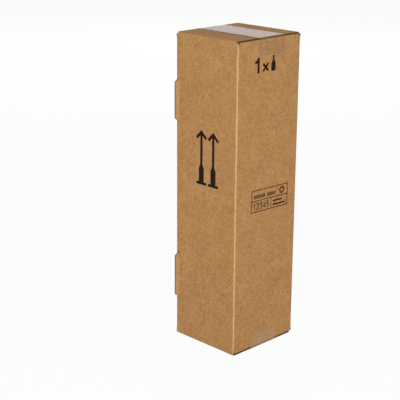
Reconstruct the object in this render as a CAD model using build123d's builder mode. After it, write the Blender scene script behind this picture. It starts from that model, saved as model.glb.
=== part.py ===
"""A one-bottle shipping box of single-wall corrugated board, closed and taped, with its inner bottle holder.

Frame: +Z up, origin at the centre of the base. The front panel faces -Y and the left panel faces -X.
The flutes run level, round the box. All sizes are in millimetres.
"""

from build123d import *
from math import atan2, degrees, hypot
import os

os.makedirs("parts", exist_ok=True)

# ---- Driving dimensions of the outer carton ----
carton_width = 120.0  # outside, along X: the front and back panels
carton_depth = 112.0  # outside, along Y: the left and right panels
carton_height = 430.0  # outside, over the outer flaps
board = 3.0  # thickness of the corrugated board
corner_radius = 2.5  # outside of the four upright folds
outer_fold_radius = 3.5  # outside of the folds that carry the outer flaps
inner_fold_radius = 2.5  # outside of the folds that carry the inner flaps
crease_radius = 0.5  # inside of every fold
layer_gap = 0.3  # air between an outer flap and the inner flaps under it
outer_flap_seam = 1.0  # gap along the middle where the outer flaps meet
inner_flap_seam = 8.0  # gap between the two inner flaps
outer_flap_inset = 1.0  # from the front and back faces to an outer flap's cut ends
inner_flap_inset = 1.0  # from the side panels to an inner flap's cut ends
slot_depth = 4.0  # from the top face down to the foot of the slots at the corners
lap_width = 30.0  # glued joint, inside the right panel at the back corner
lap_margin = 2.0  # from the inner flaps to the ends of the glued joint
joint_slit = 0.4  # width of the line where the right panel butts on the glued corner
joint_slit_depth = 1.0

# ---- Driving dimensions of the bottle holder ----
side_land = 10.6  # flat where the cell touches the left wall and the post
front_land = 15.8  # flat where the cell touches the front wall and the panel along the back
holder_fit = 0.4  # clearance between the holder and whatever it stands in
sheet_gap = 0.3  # clearance between the holder's own layers
tab_reach = 6.5  # how far the lock tabs stand out of the left panel
tab_bevel = 4.0  # height of the slope at each end of a tab
tab_slot_play = 0.5  # clearance all round a tab in its slot
lower_tab_foot = 57.5  # from the base to the lower tab
lower_tab_length = 66.0
upper_tab_drop = 61.5  # from the top face down to the upper tab
upper_tab_length = 58.0
shelf_height = 52.0  # from an end of the holder to the shelf there, which stops the bottle
shelf_width = 44.0  # across each tongue
shelf_seam = 6.0  # gap between the two tongues of a shelf

# ---- Driving dimensions of the tapes ----
tape_width = 50.0
tape_thickness = 0.1
tape_bend = 0.8  # radius where a tape turns over an edge
top_tape_offset = 3.5  # from the middle of the carton, along X
top_tape_drop = 24.0  # how far the top tape comes down the front and back panels
bottom_tape_offset = 0.0
bottom_tape_drop = 24.0  # how far the bottom tape goes up the front and back panels

# ---- Worked out from the driving dimensions ----
half_width = carton_width / 2
half_depth = carton_depth / 2
half_height = carton_height / 2
inner_fold_top = carton_height - board - layer_gap  # upper face of the inner flaps
flap_stack = 2 * board + layer_gap  # both layers of flaps at one end
lap_foot = flap_stack + lap_margin
upper_tab_foot = carton_height - upper_tab_drop - upper_tab_length
tab_spans = ((lower_tab_foot, lower_tab_length), (upper_tab_foot, upper_tab_length))


def fold_outline(wall_face, wall_foot, top_face, flap_end):
    """Corners of a wall that folds over into a flap: face of the wall, its foot, top face, free end."""
    inward = 1 if flap_end > wall_face else -1
    wall_back = wall_face + inward * board
    return [
        (wall_face, wall_foot),
        (wall_face, top_face),
        (flap_end, top_face),
        (flap_end, top_face - board),
        (wall_back, top_face - board),
        (wall_back, wall_foot),
    ]


# ---- Outer carton: one blank, folded to a square tube with four flaps at each end ----
with BuildPart() as outer_carton:
    # Upper half of the four panels, up to the foot of the corner slots
    with BuildSketch(Plane.XY.offset(half_height)) as panel_section:
        RectangleRounded(carton_width, carton_depth, corner_radius)
        RectangleRounded(
            carton_width - 2 * board,
            carton_depth - 2 * board,
            crease_radius,
            mode=Mode.SUBTRACT,
        )
    extrude(amount=half_height - slot_depth)

    # The front and back panels stop at the inner flaps' folds
    wall_foot = inner_fold_top - inner_fold_radius
    with BuildSketch(Plane.XY.offset(wall_foot)) as fold_room:
        Rectangle(carton_width - 2 * (board + inner_flap_inset), carton_depth)
    extrude(amount=carton_height - wall_foot, mode=Mode.SUBTRACT)

    # Inner flaps, on the front and back panels
    for side in (-1, 1):
        wall_face = side * half_depth
        flap_end = side * inner_flap_seam / 2
        with BuildSketch(Plane.YZ) as inner_flap_section:
            with BuildLine():
                Polyline(*fold_outline(wall_face, wall_foot, inner_fold_top, flap_end), close=True)
            make_face()
            fold_outside = vertices().sort_by_distance((wall_face, inner_fold_top))[0]
            fillet(fold_outside, inner_fold_radius)
            fold_inside = vertices().sort_by_distance((wall_face - side * board, inner_fold_top - board))[0]
            fillet(fold_inside, crease_radius)
        extrude(amount=half_width - board - inner_flap_inset, both=True)

    # Outer flaps, on the left and right panels
    outer_wall_foot = carton_height - slot_depth - board
    for side in (-1, 1):
        wall_face = side * half_width
        flap_end = side * outer_flap_seam / 2
        with BuildSketch(Plane.XZ) as outer_flap_section:
            with BuildLine():
                Polyline(*fold_outline(wall_face, outer_wall_foot, carton_height, flap_end), close=True)
            make_face()
            fold_outside = vertices().sort_by_distance((wall_face, carton_height))[0]
            fillet(fold_outside, outer_fold_radius)
            fold_inside = vertices().sort_by_distance((wall_face - side * board, carton_height - board))[0]
            fillet(fold_inside, crease_radius)
        extrude(amount=half_depth - outer_flap_inset, both=True)

    # The lower half is the upper half's mirror image
    mirror(about=Plane.XY.offset(half_height))

    # Glued joint at the back right corner: a lap of the back panel inside the right panel
    with BuildSketch(Plane.XY.offset(lap_foot)) as lap_section:
        with Locations((half_width - board, half_depth - board)):
            Rectangle(board, lap_width, align=(Align.MAX, Align.MAX))
    extrude(amount=carton_height - 2 * lap_foot)

    # The right panel's cut edge fills that corner, with a slit where it butts on the back panel
    with BuildSketch(Plane.XY.offset(slot_depth)) as cut_edge:
        with Locations((half_width, half_depth)):
            Rectangle(board, board, align=(Align.MAX, Align.MAX))
        with Locations((half_width - board, half_depth)):
            Rectangle(joint_slit, joint_slit_depth, align=(Align.MIN, Align.MAX), mode=Mode.SUBTRACT)
    extrude(amount=carton_height - 2 * slot_depth)
    with BuildSketch(Plane.XY.offset(slot_depth)) as slit_section:
        with Locations((half_width - board, half_depth)):
            Rectangle(joint_slit, joint_slit_depth, align=(Align.MIN, Align.MAX))
    extrude(amount=carton_height - 2 * slot_depth, mode=Mode.SUBTRACT)

    # Slots in the left panel, beside the back corner, for the holder's lock tabs
    tab_middle = half_depth - board - holder_fit - board / 2
    for tab_foot, tab_length in tab_spans:
        with BuildSketch(Plane.XY.offset(tab_foot - tab_slot_play)) as tab_slot:
            with Locations((-half_width, tab_middle)):
                Rectangle(3 * board, board + 2 * tab_slot_play)
        extrude(amount=tab_length + 2 * tab_slot_play, mode=Mode.SUBTRACT)

    # The bottom flaps give by the tape's thickness under the bottom tape
    with BuildSketch(Plane.XY) as tape_seat:
        with Locations((bottom_tape_offset, 0)):
            Rectangle(tape_width, carton_depth)
    extrude(amount=tape_thickness, mode=Mode.SUBTRACT)

# ---- Bottle holder: one sheet, folded to an eight-sided cell with a triangular post at the back right ----
# Faces that the holder stays inside
room_left = -half_width + board + holder_fit
room_right = half_width - 2 * board - holder_fit
room_front = -half_depth + board + holder_fit
room_back = half_depth - board - holder_fit
holder_foot = flap_stack + layer_gap + holder_fit
holder_height = carton_height - 2 * holder_foot

# Centre lines of the sheet
liner_y = room_back - board / 2  # the straight panel along the back, which carries the tabs
post_x = room_right - board / 2  # the straight panel along the right
cell_left = room_left + board / 2
cell_right = post_x - board - sheet_gap
cell_front = room_front + board / 2
cell_back = liner_y - board - sheet_gap
cell_x = (cell_left + cell_right) / 2
cell_y = (cell_front + cell_back) / 2

# A slanting panel between two flats: its run along X and Y, its middle, its distance from the centre
slant_x = cell_right - cell_x - front_land / 2
slant_y = cell_back - cell_y - side_land / 2
slant_length = hypot(slant_x, slant_y)
slant_middle = (front_land / 2 + slant_x / 2, side_land / 2 + slant_y / 2)
slant_distance = (slant_middle[0] * slant_y + slant_middle[1] * slant_x) / slant_length

# The slanting panel at the back right runs on past the flat, to the post's straight panel
post_y = cell_y + side_land / 2 - (post_x - cell_right) * slant_y / slant_x

fold_points = [
    (room_left, liner_y),
    (post_x, liner_y),
    (post_x, post_y),
    (cell_x + front_land / 2, cell_back),
    (cell_x - front_land / 2, cell_back),
    (cell_left, cell_y + side_land / 2),
    (cell_left, cell_y - side_land / 2),
    (cell_x - front_land / 2, cell_front),
    (cell_x + front_land / 2, cell_front),
    (cell_right, cell_y - side_land / 2),
]

with BuildPart() as bottle_holder:
    # The folded sheet, seen from above
    with BuildSketch(Plane.XY.offset(holder_foot)) as sheet_section:
        for start, end in zip(fold_points, fold_points[1:]):
            run_x = end[0] - start[0]
            run_y = end[1] - start[1]
            middle = ((start[0] + end[0]) / 2, (start[1] + end[1]) / 2)
            with Locations(Location(middle, degrees(atan2(run_y, run_x)))):
                Rectangle(hypot(run_x, run_y), board)
        for fold in fold_points[1:-1]:
            with Locations(fold):
                Circle(board / 2)
    extrude(amount=holder_height)

    # Shelves: two tongues at each end, cut out of opposite slanting panels and folded level
    tongue_length = slant_distance - shelf_seam / 2
    for toward_end, shelf_z in (
        (-1, holder_foot + shelf_height),
        (1, holder_foot + holder_height - shelf_height),
    ):
        for heading in (1, -1):
            shelf_plane = Plane(
                origin=(cell_x + heading * slant_middle[0], cell_y + heading * slant_middle[1], shelf_z),
                x_dir=(heading * slant_y, heading * slant_x, 0),
                z_dir=(0, 0, toward_end),
            )
            with BuildSketch(shelf_plane) as window:
                Rectangle(2 * board, shelf_width)
            extrude(amount=tongue_length, mode=Mode.SUBTRACT)
            with BuildSketch(shelf_plane) as tongue:
                Rectangle(tongue_length, shelf_width, align=(Align.MAX, Align.CENTER))
            extrude(amount=-board)

    # Lock tabs, which pass through the left panel beside the back corner
    for tab_foot, tab_length in tab_spans:
        tab_root = room_left + board
        tab_end = -half_width - tab_reach
        slope_start = -half_width
        with BuildSketch(Plane.XZ.offset(-liner_y)) as tab_outline:
            with BuildLine():
                Polyline(
                    (tab_root, tab_foot),
                    (slope_start, tab_foot),
                    (tab_end, tab_foot + tab_bevel),
                    (tab_end, tab_foot + tab_length - tab_bevel),
                    (slope_start, tab_foot + tab_length),
                    (tab_root, tab_foot + tab_length),
                    close=True,
                )
            make_face()
        extrude(amount=board / 2, both=True)

# ---- Tapes: each is a strip bent over the two ends of its seam ----
with BuildPart() as top_tape:
    with BuildSketch(Plane.YZ.offset(top_tape_offset)) as top_tape_outside:
        with Locations((0, carton_height + tape_thickness)):
            Rectangle(
                carton_depth + 2 * tape_thickness,
                top_tape_drop + tape_thickness,
                align=(Align.CENTER, Align.MAX),
            )
        fillet(vertices().group_by(Axis.Y)[-1], tape_bend + tape_thickness)
    extrude(amount=tape_width / 2, both=True)
    with BuildSketch(Plane.YZ.offset(top_tape_offset)) as top_tape_inside:
        with Locations((0, carton_height)):
            Rectangle(carton_depth, top_tape_drop, align=(Align.CENTER, Align.MAX))
        fillet(vertices().group_by(Axis.Y)[-1], tape_bend)
    extrude(amount=tape_width / 2, both=True, mode=Mode.SUBTRACT)

with BuildPart() as bottom_tape:
    with BuildSketch(Plane.YZ.offset(bottom_tape_offset)) as bottom_tape_outside:
        Rectangle(
            carton_depth + 2 * tape_thickness,
            bottom_tape_drop,
            align=(Align.CENTER, Align.MIN),
        )
        fillet(vertices().group_by(Axis.Y)[0], tape_bend + tape_thickness)
    extrude(amount=tape_width / 2, both=True)
    with BuildSketch(Plane.YZ.offset(bottom_tape_offset)) as bottom_tape_inside:
        with Locations((0, tape_thickness)):
            Rectangle(carton_depth, bottom_tape_drop, align=(Align.CENTER, Align.MIN))
        fillet(vertices().group_by(Axis.Y)[0], tape_bend)
    extrude(amount=tape_width / 2, both=True, mode=Mode.SUBTRACT)

# ---- Labels and files ----
outer_carton.part.label = "outer_carton"
export_step(outer_carton.part, "parts/outer_carton.step")
bottle_holder.part.label = "bottle_holder"
export_step(bottle_holder.part, "parts/bottle_holder.step")
top_tape.part.label = "top_tape"
export_step(top_tape.part, "parts/top_tape.step")
bottom_tape.part.label = "bottom_tape"
export_step(bottom_tape.part, "parts/bottom_tape.step")
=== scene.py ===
"""Bottle shipping box: a corrugated carton, its inner bottle holder, two tapes and the printed marks.

The board is modelled as it is made: two liners with a fluted medium between them. Each sheet is worked out
on the grid of its flat blank and folded by formula. Sizes are in millimetres until a mesh is made, in the
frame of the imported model: +Z up, the front panel faces -Y and the left panel faces -X.
"""

import logging
import math
from dataclasses import dataclass, field
from enum import Enum
from typing import Iterable, Sequence

import bpy
import numpy as np
from mathutils import Matrix, Vector


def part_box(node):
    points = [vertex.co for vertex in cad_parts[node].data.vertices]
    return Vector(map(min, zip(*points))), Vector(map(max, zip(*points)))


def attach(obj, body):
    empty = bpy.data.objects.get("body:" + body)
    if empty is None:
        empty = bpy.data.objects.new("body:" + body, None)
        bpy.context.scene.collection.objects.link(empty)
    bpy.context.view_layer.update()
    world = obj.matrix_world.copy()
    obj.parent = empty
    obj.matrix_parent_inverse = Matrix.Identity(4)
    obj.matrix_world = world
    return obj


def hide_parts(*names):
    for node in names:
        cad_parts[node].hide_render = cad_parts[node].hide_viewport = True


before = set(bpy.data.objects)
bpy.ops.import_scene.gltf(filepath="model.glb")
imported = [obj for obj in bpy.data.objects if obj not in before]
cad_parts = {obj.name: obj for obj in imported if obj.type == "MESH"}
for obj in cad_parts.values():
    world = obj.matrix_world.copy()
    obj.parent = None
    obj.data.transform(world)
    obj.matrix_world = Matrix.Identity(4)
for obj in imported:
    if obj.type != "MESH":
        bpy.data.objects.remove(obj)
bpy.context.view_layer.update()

log = logging.getLogger("bottle_box")

Array = np.ndarray
Colour = tuple[float, float, float]
Point = tuple[float, float]

MM = 0.001  # metres in a millimetre
QUARTER = math.pi / 2
RNG_SEED = 20


class Panel(Enum):
    """The upright panels, in the order in which the blank is folded round, and the glued lap at its end."""

    RIGHT = 0
    FRONT = 1
    LEFT = 2
    BACK = 3
    LAP = 4


class Slot(Enum):
    """Names of material slots, which no piece in this script is given."""

    CARTON = "kraft_board"
    HOLDER = "holder_board"
    TAPE = "clear_tape"


class Layer(Enum):
    """The three sheets that are glued together to make the board."""

    OUTER_LINER = "outer_liner"
    FLUTING = "fluting"
    INNER_LINER = "inner_liner"


# ---- Meshes ----


@dataclass(frozen=True)
class Shell:
    """A closed sheet: points in millimetres, quads, and what its finish needs to know at each point."""

    points: Array
    quads: Array
    blank: Array  # place on the flat blank, in millimetres
    fold: Array  # 1 on a scored fold, 0 on flat board
    cut: Array  # for each quad: 1 on a cut edge, 0 on a face


def closed_sheet(
    face: Array, back: Array, cells: Array, blank: Array, fold: Array, looped: bool = False
) -> Shell:
    """Closes the space between two grids of points.

    The face keeps the grid's turning sense, the back is the same grid turned over, and every side of a kept
    cell that has no kept neighbour gets a wall from the face to the back. The volume inside is a sixth of the
    sum of each triangle's first corner times the cross of the other two, and if it comes out negative, every
    quad is turned over, so that all of them point outwards.

    Args:
        face: Points of the outer side, rows by columns by 3.
        back: Points of the inner side, in the same layout.
        cells: True for each cell of the grid that is board, (rows - 1) by (columns - 1).
        blank: Place of each grid point on the flat blank, rows by columns by 2.
        fold: How far each grid point is on a fold, rows by columns.
        looped: True if the last row lies on the first, so that the sheet has no ends.

    Returns:
        The closed shell, without the points that no quad uses.
    """
    rows, columns = face.shape[:2]
    index = np.arange(rows * columns).reshape(rows, columns)
    if looped:
        index[-1] = index[0]
    a, b, c, d = index[:-1, :-1], index[:-1, 1:], index[1:, 1:], index[1:, :-1]
    front = np.stack([a, b, c, d], -1)[cells]
    beyond = np.zeros((rows + 1, columns + 1), bool)
    beyond[1:-1, 1:-1] = cells
    if looped:
        beyond[0, 1:-1], beyond[-1, 1:-1] = cells[-1], cells[0]
    shift = rows * columns
    quads = [front, front[:, ::-1] + shift]
    cut = [np.zeros(2 * len(front))]
    sides = (
        (a, b, beyond[:-2, 1:-1]),
        (b, c, beyond[1:-1, 2:]),
        (c, d, beyond[2:, 1:-1]),
        (d, a, beyond[1:-1, :-2]),
    )
    for start, end, neighbour in sides:
        open_side = cells & ~neighbour
        p, q = start[open_side], end[open_side]
        quads.append(np.stack([q, p, p + shift, q + shift], -1))
        cut.append(np.ones(len(p)))
    points = np.concatenate([face.reshape(-1, 3), back.reshape(-1, 3)])
    used, renumbered = np.unique(np.concatenate(quads), return_inverse=True)
    points, turned = points[used], renumbered.reshape(-1, 4)
    p, q, r, s = np.moveaxis(points[turned] - points.mean(0), 1, 0)
    if np.sum(p * (np.cross(q, r) + np.cross(r, s))) < 0:
        turned = turned[:, ::-1]
    return Shell(
        points=points,
        quads=turned,
        blank=np.tile(blank.reshape(-1, 2), (2, 1))[used],
        fold=np.tile(fold.reshape(-1), 2)[used],
        cut=np.concatenate(cut),
    )


def joined(shells: Sequence[Shell]) -> Shell:
    """Several shells as one, with their quads renumbered.

    Args:
        shells: The shells, in order.

    Returns:
        One shell.
    """
    starts = np.cumsum([0] + [len(s.points) for s in shells])
    return Shell(
        points=np.concatenate([s.points for s in shells]),
        quads=np.concatenate([s.quads + start for s, start in zip(shells, starts)]),
        blank=np.concatenate([s.blank for s in shells]),
        fold=np.concatenate([s.fold for s in shells]),
        cut=np.concatenate([s.cut for s in shells]),
    )


def make_piece(
    name: str,
    shell: Shell,
    material: bpy.types.Material,
    stands_for: str | None = None,
    sharp_angle: float = 35.0,
) -> bpy.types.Object:
    """Makes a shell into a Blender object at the origin, riding on the root body.

    Args:
        name: Name of the piece.
        shell: What to make.
        material: Its finish.
        stands_for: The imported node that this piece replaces.
        sharp_angle: Edges that turn by more than this many degrees stay sharp.

    Returns:
        The object.
    """
    mesh = bpy.data.meshes.new(name)
    mesh.vertices.add(len(shell.points))
    mesh.vertices.foreach_set("co", (shell.points * MM).astype(np.float32).ravel())
    mesh.loops.add(shell.quads.size)
    mesh.loops.foreach_set("vertex_index", shell.quads.astype(np.int32).ravel())
    mesh.polygons.add(len(shell.quads))
    mesh.polygons.foreach_set("loop_start", np.arange(0, shell.quads.size, 4, dtype=np.int32))
    mesh.update(calc_edges=True)
    layer = mesh.uv_layers.new(name="blank")
    layer.data.foreach_set("uv", (shell.blank * MM)[shell.quads.ravel()].astype(np.float32).ravel())
    attribute = mesh.attributes.new("fold", "FLOAT", "POINT")
    attribute.data.foreach_set("value", shell.fold.astype(np.float32))
    attribute = mesh.attributes.new("cut", "FLOAT", "FACE")
    attribute.data.foreach_set("value", shell.cut.astype(np.float32))
    mesh.shade_smooth()
    mesh.set_sharp_from_angle(angle=math.radians(sharp_angle))
    mesh.materials.append(material)
    piece = bpy.data.objects.new(name, mesh)
    bpy.context.scene.collection.objects.link(piece)
    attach(piece, "root")
    if stands_for is not None:
        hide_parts(stands_for)
    size = np.ptp(shell.points, axis=0)
    log.info("%s: %d quads, %.1f x %.1f x %.1f mm", name, len(shell.quads), *size)
    return piece


def ruled(low: float, high: float, step: float, stops: Iterable[float] = ()) -> Array:
    """Lines of a grid between two ends.

    They are the multiples of step, the two ends and the stops, less each multiple that lies within 0.4 of a
    step of a stop or an end.

    Args:
        low: First line.
        high: Last line.
        step: Spacing of the plain lines.
        stops: Lines that must be there.

    Returns:
        The lines, in rising order.
    """
    kept = np.unique([low, high, *(s for s in stops if low < s < high)])
    plain = np.arange(math.ceil(low / step), math.floor(high / step) + 1) * step
    clear = np.abs(plain[:, None] - kept[None, :]).min(1) > 0.4 * step
    return np.unique(np.concatenate([kept, plain[clear & (plain > low) & (plain < high)]]))


def smooth(x: Array) -> Array:
    """A smooth step from 0 to 1, three x squared less two x cubed, held flat outside."""
    x = np.clip(x, 0.0, 1.0)
    return x * x * (3.0 - 2.0 * x)


@dataclass(frozen=True)
class Board:
    """Single-wall corrugated board."""

    thickness: float = 3.0
    liner: float = 0.4
    medium: float = 0.25
    pitch: float = 6.3  # from one flute to the next
    washboard: float = 0.07  # depth of the outer liner's hollows between flutes
    crease: float = 0.5  # radius inside a fold

    def wave(self, across: Array, crush: Array | float = 0.0) -> Array:
        """Depth of the medium's middle: half the board, plus a cosine across the flutes.

        Args:
            across: Place across the flutes.
            crush: 0 for a full flute, 1 for a flat one.

        Returns:
            Depth below the outer face.
        """
        swing = self.thickness / 2 - self.liner - self.medium / 2
        return self.thickness / 2 + swing * (1 - crush) * np.cos(2 * np.pi * across / self.pitch)

    def faces(self, layer: Layer, across: Array, crush: Array | float = 0.0) -> tuple[Array, Array]:
        """Depths of the two sides of one layer.

        Args:
            layer: Which layer.
            across: Place across the flutes.
            crush: 0 for a full flute, 1 for a flat one.

        Returns:
            Depth of its outer side and of its inner side.
        """
        if layer is Layer.OUTER_LINER:
            return 0.0 * across, 0.0 * across + self.liner
        if layer is Layer.INNER_LINER:
            return 0.0 * across + self.thickness - self.liner, 0.0 * across + self.thickness
        middle = self.wave(across, crush)
        return middle - self.medium / 2, middle + self.medium / 2


# ---- Outer carton ----


@dataclass(frozen=True)
class Column:
    """One upright line of the blank.

    Attributes:
        panel: The panel it belongs to, or the one before it if it is on an upright fold.
        along: Distance from the panel's middle, in the folding direction.
        turn: Angle round the upright fold, in radians, or None on flat board.
        flap_panel: The panel whose flap it borders.
        flap_along: Its distance from that panel's middle on the flap.
    """

    panel: Panel
    along: float
    turn: float | None
    flap_panel: Panel
    flap_along: float


@dataclass(frozen=True)
class OuterCarton:
    """The blank that folds to a square tube with four flaps at each end and a glued lap at the back right."""

    width: float
    depth: float
    height: float
    board: Board = Board()
    corner_radius: float = 2.5
    slot_corner_radius: float = 1.0  # the upright folds are tighter beside the slots
    slot_easing: float = 10.0  # height over which they tighten
    inner_corner_radius: float = 0.1
    fold_easing: float = 4.0  # length over which the lines beside a fold are drawn to its ends
    outer_fold: float = 3.5
    inner_fold: float = 2.5
    layer_gap: float = 0.3
    outer_seam: float = 1.0
    inner_seam: float = 8.0
    outer_inset: float = 1.0
    inner_inset: float = 1.0
    slot_depth: float = 2.4
    fold_bulge: float = 1.3  # the inner flaps' folds stand up this far above the flaps
    bulge_run: float = 12.0
    squash: float = 0.36  # the outer flaps' ends are flattened by this share over the bulges
    squash_run: float = 14.0
    notch: Point = (2.6, 4.2)  # how far a slot eats into the outer flap's fold: along it, and up it
    slit: float = 0.3  # cut between a corner post and the inner flap's fold
    lap_width: float = 30.0
    lap_margin: float = 2.0
    tape_seat: float = 0.12  # how far the bottom flaps give over the bottom tape
    tab_slots: tuple[tuple[float, float], ...] = ()  # lowest and highest point of each
    tab_slot_span: Point = (49.5, 52.7)  # along Y
    dents: int = 46
    dent_depth: float = 0.2
    dent_side_run: float = 20.0  # the dents die out over this width beside the upright folds
    dent_end_run: float = 25.0  # and over this height below the flaps' folds
    seat_run: float = 6.0  # height over which the bottom gives to the tape
    turn_steps: int = 6
    rub_width: float = 1.4  # how far the upright folds are rubbed on either side

    # -- the plan --

    def facing(self, panel: Panel) -> Array:
        """The way a panel faces, seen from above."""
        x, y = ((1, 0), (0, -1), (-1, 0), (0, 1), (1, 0))[panel.value]
        return np.array([x, y], float)

    def running(self, panel: Panel) -> Array:
        """The way the blank runs along a panel: its facing, turned a quarter clockwise."""
        x, y = self.facing(panel)
        return np.array([y, -x])

    def out(self, panel: Panel) -> float:
        """Distance of a panel's outer face from the carton's middle.

        Args:
            panel: Which panel.

        Returns:
            The distance.
        """
        if panel is Panel.LAP:
            return self.width / 2 - self.board.thickness
        return self.width / 2 if panel in (Panel.RIGHT, Panel.LEFT) else self.depth / 2

    def reach(self, panel: Panel) -> float:
        """Distance from a panel's middle to the face that follows it."""
        return self.out(Panel(panel.value + 1)) if panel is not Panel.LAP else self.depth / 2

    def side_flaps(self, panel: Panel) -> bool:
        """True for the two panels that carry the outer flaps."""
        return panel in (Panel.RIGHT, Panel.LEFT)

    def flap_half(self, panel: Panel) -> float:
        """Half the length of a flap along its fold.

        Args:
            panel: The panel that carries the flap.

        Returns:
            Half its length.
        """
        if self.side_flaps(panel):
            return self.depth / 2 - self.outer_inset
        return self.width / 2 - self.board.thickness - self.inner_inset

    # -- the heights, from the carton's mid-height --

    @property
    def half_height(self) -> float:
        """Half the carton's height."""
        return self.height / 2

    @property
    def slot_foot(self) -> float:
        """Height of the corner posts."""
        return self.half_height - self.slot_depth

    @property
    def lap_end(self) -> float:
        """Height where the glued lap ends, under the inner flaps."""
        return self.half_height - 2 * self.board.thickness - self.layer_gap - self.lap_margin

    def fold_radius(self, panel: Panel) -> float:
        """Outside radius of the fold that carries a panel's flaps."""
        return self.outer_fold if self.side_flaps(panel) else self.inner_fold

    def flap_top(self, panel: Panel) -> float:
        """Height of a flap's outer face."""
        drop = 0.0 if self.side_flaps(panel) else self.board.thickness + self.layer_gap
        return self.half_height - drop

    def fold_start(self, panel: Panel) -> float:
        """Height where a panel starts to fold."""
        bulge = 0.0 if self.side_flaps(panel) else self.fold_bulge
        return self.flap_top(panel) + bulge - self.fold_radius(panel)

    def flap_end(self, panel: Panel) -> float:
        """Where a flap ends, measured up the flat blank.

        Args:
            panel: The panel that carries the flap.

        Returns:
            Distance from mid-height.
        """
        seam = self.outer_seam if self.side_flaps(panel) else self.inner_seam
        radius = self.fold_radius(panel)
        return self.fold_start(panel) + radius * QUARTER + self.out(panel) - radius - seam / 2

    # -- the grid of the blank --

    def columns(self, step: float) -> list[Column]:
        """The upright lines of the blank, from the right panel's cut edge to the end of the lap.

        Args:
            step: Spacing of the plain lines.

        Returns:
            The lines, in order.
        """
        lines: list[Column] = []
        for panel in Panel:
            half = self.flap_half(panel)
            low = -self.reach(panel) if panel is Panel.RIGHT else -self.edge(panel)
            high = self.edge(panel)
            stops: list[float] = []
            if self.side_flaps(panel):
                notch = self.depth / 2 - self.notch[0]
                stops = [-half, -notch, notch]
            elif panel is not Panel.LAP:
                stops = [-half - self.slit, -half]
                stops += [half, half + self.slit] if panel is Panel.FRONT else []
            if panel is Panel.LEFT:
                near_slots = np.arange(30.0, 45.0, 3.0)
                stops += [*self.tab_slot_span, *near_slots]
            if panel is Panel.LAP:
                high = self.lap_width - self.depth / 2
            if panel is not Panel.LAP:
                stops += [self.edge(panel) - self.rub_width]
            if panel is not Panel.RIGHT:
                stops += [self.rub_width - self.edge(panel)]
            flat = ruled(low, high, step, stops)
            inner = flat if panel is Panel.RIGHT else flat[1:]
            inner = inner if panel is Panel.LAP else inner[:-1]
            lines += [Column(panel, float(s), None, panel, float(s)) for s in inner]
            if panel is Panel.LAP:
                break
            following = Panel(panel.value + 1)
            for turn in np.linspace(0.0, QUARTER, self.turn_steps + 1):
                borders = following if turn > QUARTER / 2 else panel
                side = -1.0 if borders is following else 1.0
                lines.append(Column(panel, 0.0, float(turn), borders, side * self.flap_half(borders)))
        return lines

    def edge(self, panel: Panel) -> float:
        """Distance from a panel's middle to the start of its upright fold, at mid-height."""
        return self.reach(panel) - self.corner_radius

    def rows(self, step: float, fine: float) -> Array:
        """The level lines of the blank, measured from the carton's mid-height.

        Args:
            step: Spacing of the plain lines.
            fine: Spacing across the folds.

        Returns:
            The lines, in rising order.
        """
        end = self.flap_end(Panel.LEFT)
        fold = np.arange(self.fold_start(Panel.FRONT), self.fold_start(Panel.LEFT) + 6.0, fine)
        notch_top = self.slot_foot + self.notch[1]
        cuts = np.array([self.slot_foot, notch_top, self.flap_end(Panel.FRONT), self.lap_end])
        fold = fold[np.abs(fold[:, None] - cuts[None, :]).min(1) > 0.5 * fine]
        stops = np.concatenate([fold, cuts])
        slots = np.array(self.tab_slots).ravel() - self.half_height
        return ruled(-end, end, step, [*stops, *(-stops), *slots])

    def cells(self, columns: Sequence[Column], rows: Array) -> Array:
        """True for each cell of the grid that is board.

        A cell on a panel reaches up to its flap's end, a cell beside a flap or on an upright fold reaches up
        to the slot's foot, and the cells of the notches, slits and tab slots are left out.

        Args:
            columns: The upright lines.
            rows: The level lines, from mid-height.

        Returns:
            One truth value for each cell, rows less one by columns less one.
        """
        level = (rows[1:] + rows[:-1]) / 2
        rise = np.abs(level)
        kept = np.zeros((len(level), len(columns) - 1), bool)
        for j, (one, two) in enumerate(zip(columns, columns[1:])):
            turning = one.turn is not None and two.turn is not None
            if turning:
                top = self.fold_start(Panel.BACK) if one.panel is Panel.BACK else self.slot_foot
                kept[:, j] = rise < top
                continue
            panel = one.flap_panel if one.turn is not None else one.panel
            half = self.flap_half(panel)
            start = one.flap_along
            stop = two.flap_along if two.turn is not None else two.along
            middle = (start + stop) / 2
            if panel is Panel.LAP:
                kept[:, j] = rise < self.lap_end
            elif abs(middle) < half:
                kept[:, j] = rise < self.flap_end(panel)
                if self.side_flaps(panel) and abs(middle) > self.depth / 2 - self.notch[0]:
                    kept[:, j] &= (rise < self.slot_foot) | (rise > self.slot_foot + self.notch[1])
            elif not self.side_flaps(panel) and abs(middle) < half + self.slit:
                kept[:, j] = rise < self.fold_start(panel)
            else:
                kept[:, j] = rise < self.slot_foot
            if panel is Panel.LEFT and self.tab_slot_span[0] < middle < self.tab_slot_span[1]:
                for low, high in self.tab_slots:
                    kept[:, j] &= ~((level > low - self.half_height) & (level < high - self.half_height))
        return kept

    # -- folding --

    def corner_radii(self, rows: Array, depth: Array) -> tuple[Array, Array]:
        """Radius of the upright folds at the outer face, and at a depth below it.

        At the outer face it is the corner radius, easing to a tighter one beside the slots. It falls evenly
        with depth to nearly nothing at the inner face.

        Args:
            rows: The level lines, from mid-height.
            depth: Depth below the outer face.

        Returns:
            The radius at the outer face, and the radius at that depth.
        """
        near_slot = smooth(1.0 - (self.slot_foot - np.abs(rows)) / self.slot_easing)
        outer = self.corner_radius + (self.slot_corner_radius - self.corner_radius) * near_slot
        return outer, outer - (outer - self.inner_corner_radius) * depth / self.board.thickness

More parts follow.
